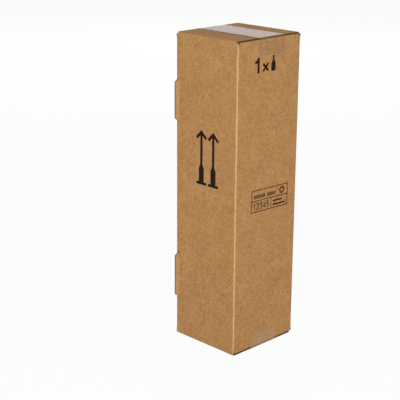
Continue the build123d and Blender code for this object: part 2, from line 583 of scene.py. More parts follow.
    def along_panel(self, along: Array, end: Array, outer_end: Array) -> Array:
        """Draws the lines next to an upright fold in to where the fold starts at this depth.

        Within an easing width of the fold, the distance from the panel's middle runs evenly from the start
        of the easing to the fold's own start at this depth.

        Args:
            along: Distance from the panel's middle on the outer face.
            end: Where the fold starts at this depth.
            outer_end: Where it starts on the outer face.

        Returns:
            Distance from the panel's middle at this depth.
        """
        ease = 1.7 * np.maximum(outer_end - end, 0.0) + 0.02
        size = np.abs(along)
        share = np.clip((size - (outer_end - ease)) / ease, 0.0, 2.0)
        eased = np.where(share > 0, outer_end - ease + share * (end - outer_end + ease), size)
        return np.sign(along) * eased

    def fold_over(
        self, rise: Array, depth: Array, panel_top: Array, radius: Array, bulge: Array
    ) -> tuple[Array, Array]:
        """Folds a wall over into a flap, in the upright plane across the fold.

        Up to the fold the wall is straight, then a quarter circle whose radius falls evenly with depth to the
        crease radius, then straight inward. Lines within an easing length of the fold are drawn to its ends.
        The fold stands a bulge above the flap's own level, and the flap comes down to it by a smooth step.

        Args:
            rise: Distance up the flat blank from mid-height, not negative.
            depth: Depth below the outer face.
            panel_top: Height of the flap's outer face.
            radius: Outside radius of the fold.
            bulge: How far the fold stands up above the flap.

        Returns:
            Distance in from the panel's outer face, and height from mid-height.
        """
        panel_top = panel_top + bulge
        start = panel_top - radius
        own = radius - (radius - self.board.crease) * depth / self.board.thickness
        arc = radius * QUARTER
        ease = self.fold_easing
        wall_end = panel_top - depth - own
        flat_start = depth + own
        angle = np.clip((rise - start) / arc, 0.0, 1.0) * QUARTER
        past = rise - start - arc
        wall_height = rise + (wall_end - start) * np.clip(1 + (rise - start) / ease, 0.0, 1.0)
        flat_in = radius + past + (flat_start - radius) * np.clip(1 - past / ease, 0.0, 1.0)
        inward = np.where(past > 0, flat_in, flat_start - own * np.cos(angle))
        height = np.where(rise < start, wall_height, wall_end + own * np.sin(angle))
        inward = np.where(rise < start, depth, inward)
        height = np.where(past > 0, panel_top - depth - bulge * smooth(past / self.bulge_run), height)
        return inward, height

    def placed(self, columns: Sequence[Column], rows: Array, depth: Array) -> Array:
        """Folds a grid of the blank into space.

        On a panel a point lies its depth in from the face and along the panel, with its height. On an upright
        fold it turns round the fold's centre, and on a flap the panel's profile is folded over inward.

        Args:
            columns: The upright lines.
            rows: The level lines, from mid-height.
            depth: Depth of each grid point below the outer face, rows by columns.

        Returns:
            Points, rows by columns by 3.
        """
        level = rows[:, None] * np.ones(len(columns))[None, :]
        rise = np.abs(level)
        outer, own = self.corner_radii(rows[:, None], depth)
        facing = np.stack([self.facing(c.panel) for c in columns])
        running = np.stack([self.running(c.panel) for c in columns])
        out = np.array([self.out(c.panel) for c in columns])[None, :]
        reach = np.array([self.reach(c.panel) for c in columns])[None, :]
        turn = np.array([c.turn if c.turn is not None else 0.0 for c in columns])[None, :]
        turning = np.array([c.turn is not None for c in columns])[None, :]

        # walls, flat and turning
        along = np.array([c.along for c in columns])[None, :]
        both = np.array([c.panel is not Panel.RIGHT for c in columns])[None, :]
        low_end = np.array([c.panel is Panel.LAP for c in columns])[None, :]
        end, outer_end = reach - depth - own, reach - outer
        drawn = self.along_panel(along, end, outer_end)
        drawn = np.where(~both & (along < 0), along, drawn)
        drawn = np.where(low_end & (along > 0), along, drawn)
        top = np.array([self.flap_top(c.panel) for c in columns])[None, :]
        radius = np.array([self.fold_radius(c.panel) for c in columns])[None, :]
        beside = np.array(
            [c.panel is Panel.LAP or abs(c.along) > self.flap_half(c.panel) + 1e-6 for c in columns]
        )
        lift = np.array([0.0 if self.side_flaps(c.panel) else self.fold_bulge for c in columns])[None, :]
        inward, height = self.fold_over(rise, depth, top, radius, lift)
        free = beside[None, :] | turning
        inward, height = np.where(free, depth, inward), np.where(free, rise, height)
        across = np.where(turning, end + own * np.sin(turn), drawn)
        outward = np.where(turning, out - depth - own + own * np.cos(turn), out - inward)
        wall = outward[..., None] * facing[None] + across[..., None] * running[None]
        wall_height = np.sign(level) * height

        # flaps
        flap_facing = np.stack([self.facing(c.flap_panel) for c in columns])
        flap_running = np.stack([self.running(c.flap_panel) for c in columns])
        flap_out = np.array([self.out(c.flap_panel) for c in columns])[None, :]
        flap_along = np.array([c.flap_along for c in columns])[None, :] + 0.0 * level
        flap_top = np.array([self.flap_top(c.flap_panel) for c in columns])[None, :]
        flap_radius = np.array([self.fold_radius(c.flap_panel) for c in columns])[None, :]
        lift = np.array([0.0 if self.side_flaps(c.flap_panel) else self.fold_bulge for c in columns])[None, :]
        edge = self.depth / 2 - self.outer_inset - np.abs(flap_along)
        over_slot = smooth((rise - self.slot_foot) / 2.0)
        squash = np.where(lift > 0, 0.0, smooth(1 - edge / self.squash_run) * over_slot)
        pressed = depth * (1 - self.squash * squash)
        flap_in, flap_height = self.fold_over(rise, pressed, flap_top, flap_radius, lift)
        flap = (flap_out - flap_in)[..., None] * flap_facing[None]
        flap = flap + flap_along[..., None] * flap_running[None]
        flap_height = np.sign(level) * flap_height

        on_flap = (rise > self.slot_foot + 1e-6) & ~beside[None, :]
        plan = np.where(on_flap[..., None], flap, wall)
        z = np.where(on_flap, flap_height, wall_height) + self.half_height
        return np.concatenate([plan, z[..., None]], -1)

    # -- the surface's own unevenness --

    def unfolded(self, columns: Sequence[Column]) -> Array:
        """Distance of each upright line along the flat blank, from the right panel's cut edge.

        Args:
            columns: The upright lines.

        Returns:
            Their distances.
        """
        starts = {Panel.RIGHT: self.depth / 2}
        for panel in (Panel.FRONT, Panel.LEFT, Panel.BACK, Panel.LAP):
            before = Panel(panel.value - 1)
            first_edge = self.reach(panel) - self.corner_radius
            starts[panel] = starts[before] + self.edge(before) + self.corner_radius * QUARTER + first_edge

        def local(c: Column) -> float:
            """Distance of a line from its panel's middle, round the fold if it is on one."""
            return c.along if c.turn is None else self.edge(c.panel) + self.corner_radius * c.turn

        return np.array([starts[c.panel] + local(c) for c in columns])

    def fold_strength(self, columns: Sequence[Column], rows: Array) -> Array:
        """How far each grid point is on a scored fold.

        It is 0 on flat board and 1 in the middle of the upright fold between the front and the left panel,
        where the finish paints a highlight. It rises a little along the flaps' folds, which are painted
        paler, as stretched paper with a faint painted highlight, and falls below 0 on the other upright
        folds, which are rubbed.

        Args:
            columns: The upright lines.
            rows: The level lines, from mid-height.

        Returns:
            The strength at each grid point.
        """
        turn = np.array([math.sin(2 * c.turn) if c.turn is not None else 0.0 for c in columns])
        turning = np.array([c.turn is not None for c in columns])
        # upright: the painted highlight on the front-left upright fold, strongest in its middle
        upright = (np.clip(turn, 0.0, 1.0) ** 5)[None, :] * np.ones(len(rows))[:, None]
        rubbed = (turning * (0.3 + 0.5 * np.clip(turn, 0.0, 1.0)))[None, :] * np.ones(len(rows))[:, None]
        start = np.array([self.fold_start(c.flap_panel) for c in columns])[None, :]
        arc = np.array([self.fold_radius(c.flap_panel) for c in columns])[None, :] * QUARTER
        share = np.clip((np.abs(rows)[:, None] - start) / arc, 0.0, 1.0)
        scuff_and_highlight = np.array([c.turn is None or c.panel is Panel.FRONT for c in columns])[None, :]
        return np.where(scuff_and_highlight, np.maximum(upright, 0.12 * np.sin(np.pi * share)), -rubbed)

    def hollows(self, along: Array, level: Array) -> Array:
        """Depth of the shallow dents: a sum of seeded bell curves, cut off at a largest depth.

        Args:
            along: Place along the flat blank.
            level: Place up the blank, from mid-height, in the same shape.

        Returns:
            The depth at each place.
        """
        rng = np.random.default_rng(RNG_SEED)
        length = self.unfolded([Column(Panel.BACK, self.edge(Panel.BACK), None, Panel.BACK, 0.0)])[0]
        centre_u = rng.uniform(0, length, self.dents)
        centre_v = rng.uniform(-self.half_height, self.half_height, self.dents)
        spread_u = rng.uniform(10, 34, self.dents)
        spread_v = rng.uniform(10, 60, self.dents)
        size = rng.uniform(0.15, 1.0, self.dents) * self.dent_depth
        du = (along[..., None] - centre_u) / spread_u
        dv = (level[..., None] - centre_v) / spread_v
        return np.minimum((size * np.exp(-du * du - dv * dv)).sum(-1), 1.6 * self.dent_depth)

    def unevenness(self, columns: Sequence[Column], rows: Array, layer: Layer) -> Array:
        """How far the surface lies below its true place: dents, and the washboard on the outer liner.

        Args:
            columns: The upright lines.
            rows: The level lines, from mid-height.
            layer: Which layer of the board.

        Returns:
            The depth at each grid point.
        """
        fold = self.fold_strength(columns, rows)
        unfolded = self.unfolded(columns)
        flat = np.array([self.flatness(c) for c in columns])[None, :]
        rise = np.abs(rows)[:, None]
        start = self.fold_start(Panel.FRONT)
        calm = flat * np.where(rise < start, smooth((start - rise) / self.dent_end_run), 0.0)
        depth = calm * self.hollows(*np.broadcast_arrays(unfolded[None, :], rows[:, None]))
        if layer is Layer.OUTER_LINER:
            hollow = 0.5 - 0.5 * np.cos(2 * np.pi * rows / self.board.pitch)
            depth = depth + self.board.washboard * hollow[:, None] * (1 - np.abs(fold))
        on_base = smooth((-rows[:, None] - start) / self.seat_run)
        return depth + self.tape_seat * on_base

    def flatness(self, column: Column) -> float:
        """0 on an upright fold, easing to 1 at the dents' side run from it.

        Args:
            column: The upright line.

        Returns:
            The share of the dents' depth there.
        """
        if column.turn is not None:
            return 0.0
        room = self.reach(column.panel) - self.corner_radius - abs(column.along)
        return float(smooth(np.array(room / self.dent_side_run)))

    # -- building --

    def layer(self, layer: Layer, column_step: float, row_step: float, fine: float) -> Shell:
        """One of the board's three layers, folded.

        Args:
            layer: Which one.
            column_step: Spacing of the upright lines.
            row_step: Spacing of the level lines.
            fine: Their spacing across the folds.

        Returns:
            The closed sheet.
        """
        columns = self.columns(column_step)
        rows = self.rows(row_step, fine)
        fold = self.fold_strength(columns, rows)
        across = rows[:, None] + 0.0 * fold
        face_depth, back_depth = self.board.faces(layer, across, 0.35 * np.abs(fold))
        uneven = self.unevenness(columns, rows, layer)
        unfolded = self.unfolded(columns)
        blank = np.stack(np.broadcast_arrays(unfolded[None, :], rows[:, None] + self.half_height), -1)
        return closed_sheet(
            self.placed(columns, rows, face_depth + uneven),
            self.placed(columns, rows, back_depth + uneven),
            self.cells(columns, rows),
            blank,
            fold,
        )

    def on_panel(self, panel: Panel, along: Array, height: Array, lift: float) -> Array:
        """Points on a panel's outer surface.

        Args:
            panel: Which panel.
            along: Distance from the panel's middle in the folding direction.
            height: Height above the base.
            lift: How far they stand off the surface.

        Returns:
            Points, in the shape of the inputs by 3.
        """
        level = height - self.half_height
        hollow = 0.5 - 0.5 * np.cos(2 * np.pi * level / self.board.pitch)
        unfolded = self.unfolded([Column(panel, 0.0, None, panel, 0.0)])[0] + along
        room = smooth((self.reach(panel) - self.corner_radius - np.abs(along)) / self.dent_side_run)
        calm = room * smooth((self.fold_start(Panel.FRONT) - np.abs(level)) / self.dent_end_run)
        depth = calm * self.hollows(unfolded, level) + self.board.washboard * hollow - lift
        plan = (self.out(panel) - depth)[..., None] * self.facing(panel)
        plan = plan + along[..., None] * self.running(panel)
        return np.concatenate([plan, height[..., None]], -1)

    def build(self, outside: bpy.types.Material, inside: bpy.types.Material) -> None:
        """Makes the three layers into pieces.

        Args:
            outside: Finish of the liners.
            inside: Finish of the fluted medium.
        """
        pitch = self.board.pitch
        outer = self.layer(Layer.OUTER_LINER, 9.0, pitch / 5, 0.7)
        make_piece("carton_outer_liner", outer, outside, "outer_carton")
        fluting = self.layer(Layer.FLUTING, 30.0, pitch / 8, 0.7)
        make_piece("carton_fluting", fluting, inside)
        inner = self.layer(Layer.INNER_LINER, 15.0, 10.0, 0.9)
        make_piece("carton_inner_liner", inner, outside)


# ---- Bottle holder ----


@dataclass(frozen=True)
class Path:
    """A centre line seen from above: places, the way to its outer side, and distance along it."""

    places: Array
    outward: Array
    distance: Array


def rounded_path(
    corners: Sequence[Point], radius: float, stops: Sequence[Sequence[float]], steps: int
) -> Path:
    """A line through corners, each turned as an arc.

    Each corner's arc starts and ends at radius times the tangent of half the turn from the corner, and its
    centre lies that radius to the side to which the line turns.

    Args:
        corners: The corners, ends included.
        radius: Radius of the centre line at each corner.
        stops: For each straight run, distances from its first corner where a line must be.
        steps: Parts of each arc.

    Returns:
        The path.
    """
    points = np.array(corners, float)
    runs = np.diff(points, axis=0)
    lengths = np.hypot(runs[:, 0], runs[:, 1])
    ways = runs / lengths[:, None]
    turns = np.arctan2(
        ways[:-1, 0] * ways[1:, 1] - ways[:-1, 1] * ways[1:, 0], (ways[:-1] * ways[1:]).sum(1)
    )
    setback = np.concatenate([[0.0], radius * np.tan(np.abs(turns) / 2), [0.0]])
    places, outward = [], []
    for k, (way, length) in enumerate(zip(ways, lengths)):
        left = np.array([-way[1], way[0]])
        marks = np.array([setback[k], *stops[k], length - setback[k + 1]])
        places.append(points[k] + marks[:, None] * way)
        outward.append(np.tile(left, (len(marks), 1)))
        if k < len(turns):
            side = math.copysign(1.0, turns[k])
            centre = points[k + 1] - setback[k + 1] * way + side * radius * left
            angle = np.linspace(0, abs(turns[k]), steps + 1)[1:-1, None]
            spoke = -side * left * np.cos(angle) + way * np.sin(angle)
            places.append(centre + radius * spoke)
            outward.append(-side * spoke)
    place, way_out = np.concatenate(places), np.concatenate(outward)
    gaps = np.hypot(*np.diff(place, axis=0).T)
    return Path(place, way_out, np.concatenate([[0.0], np.cumsum(gaps)]))


@dataclass(frozen=True)
class BottleHolder:
    """One sheet, folded to an eight-sided cell with a post at the back right, shelves and two lock tabs."""

    carton: OuterCarton
    foot: float
    head: float
    tab_end: float  # outermost point of the tabs, along X
    board: Board = Board(washboard=0.0)
    side_land: float = 10.6
    front_land: float = 15.8
    fit: float = 0.4
    sheet_gap: float = 0.3
    fold_centre_radius: float = 2.0
    tabs: tuple[tuple[float, float], ...] = ((57.5, 123.5), (310.5, 368.5))
    bevel: float = 4.0
    shelf_height: float = 52.0
    shelf_width: float = 44.0
    shelf_seam: float = 6.0

    @property
    def wall_line(self) -> float:
        """The straight panel along the back: its middle, along Y."""
        return self.carton.depth / 2 - self.board.thickness - self.fit - self.board.thickness / 2

    def corners(self) -> list[Point]:
        """Corners of the sheet's centre line.

        Returns:
            The corners seen from above, from the tabs' end round to the cell's last panel.
        """
        thick = self.board.thickness
        left = -self.carton.width / 2 + thick + self.fit
        post_x = self.carton.width / 2 - 2 * thick - self.fit - thick / 2
        cell_left, cell_right = left + thick / 2, post_x - thick - self.sheet_gap
        cell_front = -self.carton.depth / 2 + thick + self.fit + thick / 2
        cell_back = self.wall_line - thick - self.sheet_gap
        x, y = (cell_left + cell_right) / 2, (cell_front + cell_back) / 2
        side, front = self.side_land / 2, self.front_land / 2
        slope = (cell_back - y - side) / (cell_right - x - front)
        return [
            (self.tab_end, self.wall_line),
            (post_x, self.wall_line),
            (post_x, y + side - (post_x - cell_right) * slope),
            (x + front, cell_back),
            (x - front, cell_back),
            (cell_left, y + side),
            (cell_left, y - side),
            (x - front, cell_front),
            (x + front, cell_front),
            (cell_right, y - side),
        ]

    def slants(self) -> tuple[tuple[int, Array, Array, float, float], ...]:
        """The two slanting panels that carry the shelves.

        Returns:
            For each: number of its run, its middle, the way to the cell's centre, the tongue's length, and
            the distance of its middle from the run's first corner.
        """
        points = np.array(self.corners())
        centre = (points[6] + points[9]) / 2 + np.array([0.0, self.side_land / 2])
        found = []
        for run, first in ((2, 2 * centre - points[6]), (6, points[6])):
            start, end = points[run], points[run + 1]
            way = (end - start) / np.hypot(*(end - start))
            middle = (first + end) / 2
            inward = np.array([-way[1], way[0]])
            length = float(np.dot(centre - middle, inward)) - self.shelf_seam / 2
            found.append((run, middle, inward, length, float(np.dot(middle - start, way))))
        return tuple(found)

    def build(self, outside: bpy.types.Material, inside: bpy.types.Material) -> None:
        """Makes the folded sheet and its shelves.

        Args:
            outside: Finish of the liners.
            inside: Finish of the fluted medium.
        """
        liners = [self.sheet(layer, 3.0) for layer in (Layer.OUTER_LINER, Layer.INNER_LINER)]
        liners += self.shelves((Layer.OUTER_LINER, Layer.INNER_LINER), 6.0)
        make_piece("holder_liners", joined(liners), outside, "bottle_holder")
        fine = self.board.pitch / 8
        fluting = [self.sheet(Layer.FLUTING, fine), *self.shelves((Layer.FLUTING,), fine)]
        make_piece("holder_fluting", joined(fluting), inside)

    def sheet(self, layer: Layer, row_step: float) -> Shell:
        """One layer of the folded sheet, with its windows and its tabs.

        A point is its place on the centre line, moved half the board less its depth to the outer side, at its
        height. On the tabs the heights close up toward the end, which makes the bevels.

        Args:
            layer: Which layer.
            row_step: Spacing of the level lines.

        Returns:
            The closed sheet.
        """
        points = np.array(self.corners())
        wall = -self.carton.width / 2
        root = wall + self.board.thickness + self.fit
        stops: list[list[float]] = [[] for _ in range(len(points) - 1)]
        stops[0] = [wall - self.tab_end, root - self.tab_end]
        slants = self.slants()
        for run, _, _, _, middle in slants:
            stops[run] = [middle - self.shelf_width / 2, middle + self.shelf_width / 2]
        path = rounded_path([tuple(p) for p in points], self.fold_centre_radius, stops, 4)
        shelf_z = (self.foot + self.shelf_height, self.head - self.shelf_height)
        length = slants[0][3]
        cuts = [shelf_z[0], shelf_z[0] - length, shelf_z[1], shelf_z[1] + length]
        rows = ruled(self.foot, self.head, row_step, [*cuts, *np.ravel(self.tabs)])
        level = (rows[1:] + rows[:-1]) / 2
        places = path.places
        middle = (places[1:] + places[:-1]) / 2
        kept = np.ones((len(level), len(places) - 1), bool)
        on_tab = middle[:, 0] < root
        in_tab = np.zeros(len(level), bool)
        for low, high in self.tabs:
            in_tab |= (level > low) & (level < high)
        kept[:, on_tab & (np.abs(middle[:, 1] - self.wall_line) < 1e-6)] = in_tab[:, None]
        in_window = ((level > cuts[1]) & (level < cuts[0])) | ((level > cuts[2]) & (level < cuts[3]))
        for run, centre, _, _, _ in slants:
            way = (points[run + 1] - points[run]) / np.hypot(*(points[run + 1] - points[run]))
            offset = (middle - centre) @ way
            across = np.abs((middle - centre) @ np.array([-way[1], way[0]]))
            window = (np.abs(offset) < self.shelf_width / 2 - 1e-3) & (across < 1e-3)
            kept[:, window] &= ~in_window[:, None]
        height = rows[:, None] + 0.0 * places[None, :, 0]
        share = np.clip((wall - places[:, 0]) / (wall - self.tab_end), 0.0, 1.0)[None, :]
        for low, high in self.tabs:
            mid, half = (low + high) / 2, (high - low) / 2
            inside = (rows >= low) & (rows <= high)
            closing = mid + (height - mid) * (1 - self.bevel / half * share)
            height = np.where(inside[:, None], closing, height)
        face_depth, back_depth = self.board.faces(layer, height)

        def at(depth: Array) -> Array:
            """Points at a depth below the outer side."""
            plan = places[None] + path.outward[None] * (self.board.thickness / 2 - depth)[..., None]
            return np.concatenate([plan, height[..., None]], -1)

        fold = np.zeros_like(height)
        blank = np.stack(np.broadcast_arrays(path.distance[None, :], rows[:, None]), -1)
        return closed_sheet(at(face_depth), at(back_depth), kept, blank, fold)

    def shelves(self, layers: Sequence[Layer], step: float) -> list[Shell]:
        """The level tongues: flat board, from the slanting panel's middle plane toward the cell's centre.

        Args:
            layers: Which layers to make.
            step: Spacing of the lines along a tongue.

        Returns:
            One closed sheet for each layer of each tongue.
        """
        shells = []
        for z, toward_end in ((self.foot + self.shelf_height, -1.0), (self.head - self.shelf_height, 1.0)):
            for _, middle, inward, length, _ in self.slants():
                across = np.array([-inward[1], inward[0]])
                run = ruled(0.0, length, step)
                side = np.array([-1.0, -0.5, 0.0, 0.5, 1.0]) * self.shelf_width / 2
                plan = middle + run[:, None, None] * inward + side[None, :, None] * across
                level = run[:, None] + 0.0 * side[None, :]
                for layer in layers:
                    depths = self.board.faces(layer, level)
                    grids = [np.concatenate([plan, (z - toward_end * d)[..., None]], -1) for d in depths]
                    cells = np.ones((len(run) - 1, len(side) - 1), bool)
                    blank = np.stack(np.broadcast_arrays(side[None, :] + 500.0, run[:, None]), -1)
                    shells.append(closed_sheet(*grids, cells, blank, np.zeros_like(level)))
        return shells


# ---- Tapes ----


@dataclass(frozen=True)
class TapeEnd:
    """Where a tape ends on a panel: its height above or below the edge, at places across its width."""

    across: tuple[float, ...]
    drop: tuple[float, ...]

    def at(self, x: Array) -> Array:
        """Length of the tape's end at each place across, with the fine teeth of the cutter."""
        tooth = 0.5 * np.abs(((x / 1.6) % 1.0) - 0.5)
        return np.interp(x, self.across, self.drop) - tooth


@dataclass(frozen=True)
class Tape:
    """A clear strip bent over the two ends of its seam, from the front panel over to the back panel."""

    name: str
    node: str
    low: Array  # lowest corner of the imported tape
    high: Array
    front: TapeEnd
    back: TapeEnd
    at_top: bool
    film: float = 0.06
    bend: float = 0.8
    flap_inset: float = 1.0  # the outer flaps' cut ends lie this far behind the panels
    lean: float = 5.8  # height over which the film crosses from the panel to the flaps' edge
    wrinkle: float = 0.02
    wrinkle_pitch: float = 7.3
    lines_across: int = 81

    def build(self, material: bpy.types.Material) -> None:
        """Makes the strip.

        Its path in the upright plane runs up the front panel, leans in to the flaps' edge, crosses the flaps
        and comes down the back. The first and last points of each line across lie on the cut ends.

        Args:
            material: The film's finish.
        """
        x0, y0, z0 = self.low
        x1, y1, z1 = self.high
        x = np.linspace(x0, x1, self.lines_across)
        edge = z1 if self.at_top else z0
        down = -1.0 if self.at_top else 1.0
        inset = self.flap_inset if self.at_top else 0.0
        lean = self.lean if self.at_top else 0.0
        reach = self.high[2] - self.low[2]
        corner = [
            (y0, edge + down * reach),
            (y0, edge + down * (lean + 0.01)),
            (y0 + inset, edge),
            (y1 - inset, edge),
            (y1, edge + down * (lean + 0.01)),
            (y1, edge + down * reach),
        ]
        if not self.at_top:
            corner = [corner[0], corner[2], corner[3], corner[5]]
        runs = len(corner) - 1
        stops: list[Sequence[float]] = [[] for _ in range(runs)]
        across_run = 2 if self.at_top else 1
        margin, lines = 4.0, 40
        stops[across_run] = list(np.linspace(margin, y1 - y0 - 2 * inset - margin, lines))
        path = rounded_path(corner, self.bend, stops, 5)
        outward = path.outward if self.at_top else -path.outward
        y = path.places[None, :, 0] + 0.0 * x[:, None]
        z = path.places[None, :, 1] + 0.0 * x[:, None]
        normal = np.broadcast_to(outward[None], (*y.shape, 2))

        # the first and last lines of the path slide to the cut ends
        for index, end in ((0, self.front), (-1, self.back)):
            z[:, index] = edge + down * end.at(x)
        phase = 2 * np.pi * (x[:, None] - x0) / self.wrinkle_pitch + 0.02 * path.distance[None, :]
        sink = self.wrinkle * (0.5 + 0.5 * np.cos(phase))

        def at(depth: Array) -> Array:
            """Points at a depth below the film's outer side.

            Args:
                depth: The depth at each place across, and along.

            Returns:
                The points, in the shape of the grid by 3.
            """
            yy = y - normal[..., 0] * depth
            zz = z - normal[..., 1] * depth
            return np.stack([np.broadcast_to(x[:, None], yy.shape), yy, zz], -1)

        cells = np.ones((len(x) - 1, len(path.places) - 1), bool)
        blank = np.stack(np.broadcast_arrays(x[:, None] - x0, path.distance[None, :]), -1)
        face, back = at(sink), at(sink + self.film)
        shell = closed_sheet(face, back, cells, blank, np.zeros(y.shape))
        make_piece(self.name, shell, material, self.node)


# ---- Printed marks ----


@dataclass(frozen=True)
class Ink:
    """How a mark lies on the board."""

    lift: float = 0.04
    sink: float = 0.03
    step: float = 0.9  # longest side of a cell, so that the film follows the washboard


@dataclass
class PrintedMark:
    """A mark printed on one panel, put together from inked bands. Places are given as seen by a reader."""

    name: str
    carton: OuterCarton
    panel: Panel
    origin: Point  # along the panel to the reader's right, and height above the base
    tilt: float = 0.0  # degrees, anticlockwise for the reader
    ink: Ink = Ink()
    bands: list[Shell] = field(default_factory=list)

    def lay(self, across: Array, up: Array, looped: bool = False) -> None:
        """Lays one grid of points on the panel as a thin closed film of ink.

        Args:
            across: Distance to the reader's right of the mark's origin.
            up: Distance above it.
            looped: True if the grid's last row lies on its first.
        """
        angle = math.radians(self.tilt)
        right = self.origin[0] + across * math.cos(angle) - up * math.sin(angle)
        height = self.origin[1] + across * math.sin(angle) + up * math.cos(angle)
        along = -right  # the blank runs to the reader's left
        face = self.carton.on_panel(self.panel, along, height, self.ink.lift)
        back = self.carton.on_panel(self.panel, along, height, -self.ink.sink)
        cells = np.ones((face.shape[0] - 1, face.shape[1] - 1), bool)
        blank = np.stack([across, up], -1)
        self.bands.append(closed_sheet(face, back, cells, blank, np.zeros(across.shape), looped))

    def line(self, start: Point, end: Point, width: float) -> None:
        """A straight band: start plus a share of the run, plus a share of the width to its side.

        Args:
            start: Middle of its first end.
            end: Middle of its other end.
            width: Its width.
        """
        a, b = np.array(start), np.array(end)
        length = float(np.hypot(*(b - a)))
        way = (b - a) / length
        s = np.linspace(0, length, max(2, math.ceil(length / self.ink.step) + 1))
        c = np.linspace(-width / 2, width / 2, max(2, math.ceil(width / self.ink.step) + 1))
        s, c = np.meshgrid(s, c, indexing="ij")
        self.lay(a[0] + s * way[0] - c * way[1], a[1] + s * way[1] + c * way[0])

    def stroke(self, points: Sequence[Point], width: float) -> None:
        """A band of even width along a bent line, with its corners mitred.

        Args:
            points: The line's corners, ends included.
            width: The band's width.
        """
        p = np.array(points, float)
        way = np.diff(p, axis=0)
        way /= np.hypot(*way.T)[:, None]
        before, after = np.vstack([way[:1], way]), np.vstack([way, way[-1:]])
        mean = before + after
        mean /= np.hypot(*mean.T)[:, None]
        stretch = 1 / np.clip((mean * before).sum(1), 0.5, 1.0)
        normal = np.stack([-mean[:, 1], mean[:, 0]], -1) * stretch[:, None]
        gaps = np.hypot(*np.diff(p, axis=0).T)
        distance = np.concatenate([[0], np.cumsum(gaps)])
        s = ruled(0.0, float(distance[-1]), self.ink.step, distance[1:-1])
        c = np.linspace(-width / 2, width / 2, 3)
        centre = np.stack([np.interp(s, distance, p[:, k]) for k in (0, 1)], -1)
        side = np.stack([np.interp(s, distance, normal[:, k]) for k in (0, 1)], -1)
        grid = centre[:, None] + c[None, :, None] * side[:, None]
        self.lay(grid[..., 0], grid[..., 1])

    def ring(self, centre: Point, radius: float, width: float) -> None:
        """A band of even width along a circle: centre plus radius times the cosine and sine of the turn.

        Args:
            centre: The circle's centre.
            radius: Radius of the band's middle.
            width: The band's width.
        """
        angle = np.radians(np.linspace(0.0, 360.0, 41))[:, None]
        c = np.linspace(-width / 2, width / 2, 3)[None, :]
        across, up = centre[0] + (radius + c) * np.cos(angle), centre[1] + (radius + c) * np.sin(angle)
        self.lay(across, up, looped=True)

    def silhouette(self, heights: Sequence[float], halves: Sequence[float], x: float) -> None:
        """A filled upright shape, the same on both sides: half-width runs evenly from height to height.

        Args:
            heights: Heights where the half-width is given, rising.
            halves: The half-width at each.
            x: Place of its middle line.
        """
        up = ruled(heights[0], heights[-1], self.ink.step, heights[1:-1])
        half = np.interp(up, heights, halves)
        c = np.linspace(-1, 1, 9)
        across = x + half[:, None] * c[None, :]
        self.lay(across, up[:, None] + 0.0 * across)

    def build(self, material: bpy.types.Material) -> None:
        """Joins the bands into one piece."""
        make_piece(self.name, joined(self.bands), material)


def upright_arrows(carton: OuterCarton) -> PrintedMark:
    """Two upright arrows on the left panel: chevron, thin shaft, bottle-shaped body and base bar.

    Args:
        carton: The carton that it is printed on.

    Returns:
        The mark.
    """
    mark = PrintedMark("print_arrows", carton, Panel.LEFT, (3.2, 231.2))
    for x in (-10.9, 11.0):
        mark.stroke([(x - 8.9, 62.8), (x, 71.6), (x + 8.9, 62.8)], 4.1)
        mark.silhouette((1.0, 22.0, 27.5, 70.0), (4.7, 4.7, 2.1, 2.0), x)
        mark.line((x - 9.6, 1.4), (x + 9.6, 1.4), 3.8)
    return mark


def count_mark(carton: OuterCarton) -> PrintedMark:
    """The count of one, a cross and a bottle, near the top of the front panel.

    Args:
        carton: The carton that it is printed on.

    Returns:
        The mark.
    """
    mark = PrintedMark("print_count", carton, Panel.FRONT, (0.0, 385.0))
    mark.line((-21.2, 0.0), (-21.2, 19.9), 3.9)
    mark.stroke([(-27.9, 13.4), (-24.2, 14.9), (-21.6, 18.6)], 3.4)
    mark.line((-12.4, 1.4), (-2.6, 11.2), 3.2)
    mark.line((-12.4, 11.2), (-2.6, 1.4), 3.2)
    heights = (0.0, 0.7, 9.6, 12.6, 14.0, 18.6, 18.7, 20.2)
    mark.silhouette(heights, (3.6, 4.1, 4.1, 2.9, 1.5, 1.5, 1.9, 1.9), 7.4)
    return mark


def stamp(carton: OuterCarton) -> PrintedMark:
    """A ruled box of plain marks on the front panel: ticks, a ring, plain figures and two bars.

    Args:
        carton: The carton that it is printed on.

    Returns:
        The mark.
    """
    mark = PrintedMark("print_stamp", carton, Panel.FRONT, (-29.2, 198.0), tilt=-1.4, ink=Ink(lift=0.03))
    width, height, rule, thin = 71.0, 29.8, 15.2, 1.25
    for level in (0.0, rule, height):
        mark.line((-thin / 2, level), (width + thin / 2, level), thin)
    for x in (0.0, width):
        mark.line((x, 0.0), (x, height), thin)
    mark.line((38.6, 0.4), (38.6, rule), thin)
    for start, count in ((4.9, 9), (31.3, 7)):
        for k in range(count):
            mark.line((start + 2.5 * k, 18.4), (start + 2.5 * k, 23.4), 1.8)
    mark.ring((59.5, 22.4), 3.9, 2.3)
    figures = (
        ((0.15, 0.72), (0.55, 1.0), (0.55, 0.0)),
        ((0.0, 0.75), (0.2, 0.96), (0.6, 1.0), (0.92, 0.8), (0.85, 0.52), (0.0, 0.04), (1.0, 0.04)),
        ((0.0, 0.96), (0.9, 0.96), (0.42, 0.6), (0.85, 0.5), (0.95, 0.22), (0.6, 0.0), (0.0, 0.1)),
        ((0.75, 0.0), (0.75, 1.0), (0.0, 0.28), (1.05, 0.28)),
        ((0.95, 0.96), (0.1, 0.96), (0.05, 0.56), (0.6, 0.62), (0.95, 0.34), (0.6, 0.02), (0.0, 0.08)),
    )  # 1 to 5, each in a frame one wide and one high
    for k, points in enumerate(figures):
        mark.stroke([(3.6 + 6.6 * k + 4.3 * x, 3.2 + 8.6 * y) for x, y in points], 1.5)
    mark.line((42.0, 9.7), (60.5, 9.7), 2.5)
    mark.line((42.0, 4.3), (67.0, 4.3), 2.5)
    return mark


# ---- Finishes ----


